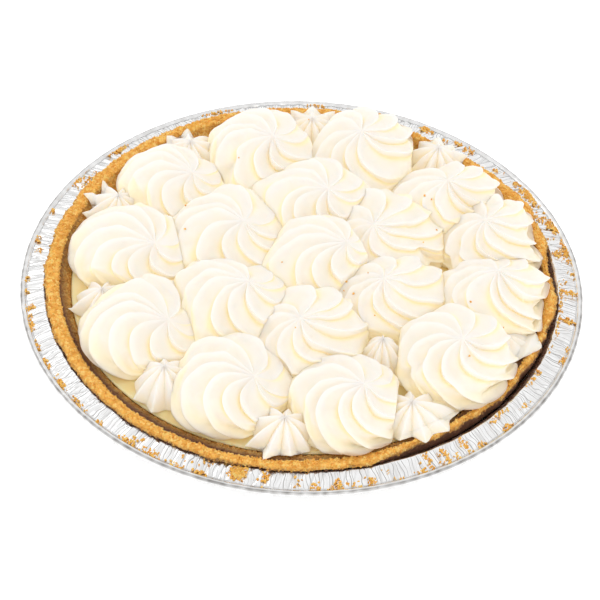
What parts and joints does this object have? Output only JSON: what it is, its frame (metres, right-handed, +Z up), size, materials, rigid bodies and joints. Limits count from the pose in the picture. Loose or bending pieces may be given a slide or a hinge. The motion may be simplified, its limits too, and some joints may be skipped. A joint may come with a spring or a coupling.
{
  "type": "key lime pie",
  "caption": "Whole round pie in a foil pan with a golden crumb crust, pale yellow filling and piped whipped cream swirls and stars.",
  "frame": {"origin": "centre of the pan's underside, on the table", "axes": "+Z up, +X to the viewer's right, +Y away from the viewer"},
  "size_m": [0.245, 0.245, 0.0497],
  "materials": {
    "foil": "bright crinkled foil",
    "crust": "rough golden crumb",
    "filling": "smooth, slightly moist",
    "cream": "smooth, soft sheen"
  },
  "bodies": {
    "root": {"foil_pan": "foil", "crust": "crust", "filling": "filling", "cream_swirl_01": "cream", "cream_swirl_02": "cream", "cream_swirl_03": "cream", "cream_swirl_04": "cream", "cream_swirl_05": "cream", "cream_swirl_06": "cream", "cream_swirl_07": "cream", "cream_swirl_08": "cream", "cream_swirl_09": "cream", "cream_swirl_10": "cream", "cream_swirl_11": "cream", "cream_swirl_12": "cream", "cream_swirl_13": "cream", "cream_swirl_14": "cream", "cream_swirl_15": "cream", "cream_swirl_16": "cream", "cream_swirl_17": "cream", "cream_swirl_18": "cream", "cream_star_01": "cream", "cream_star_02": "cream", "cream_star_03": "cream", "cream_star_04": "cream", "cream_star_05": "cream", "cream_star_06": "cream", "cream_star_07": "cream", "cream_star_08": "cream", "cream_star_09": "cream", "cream_star_10": "cream"}
  },
  "joints": []
}
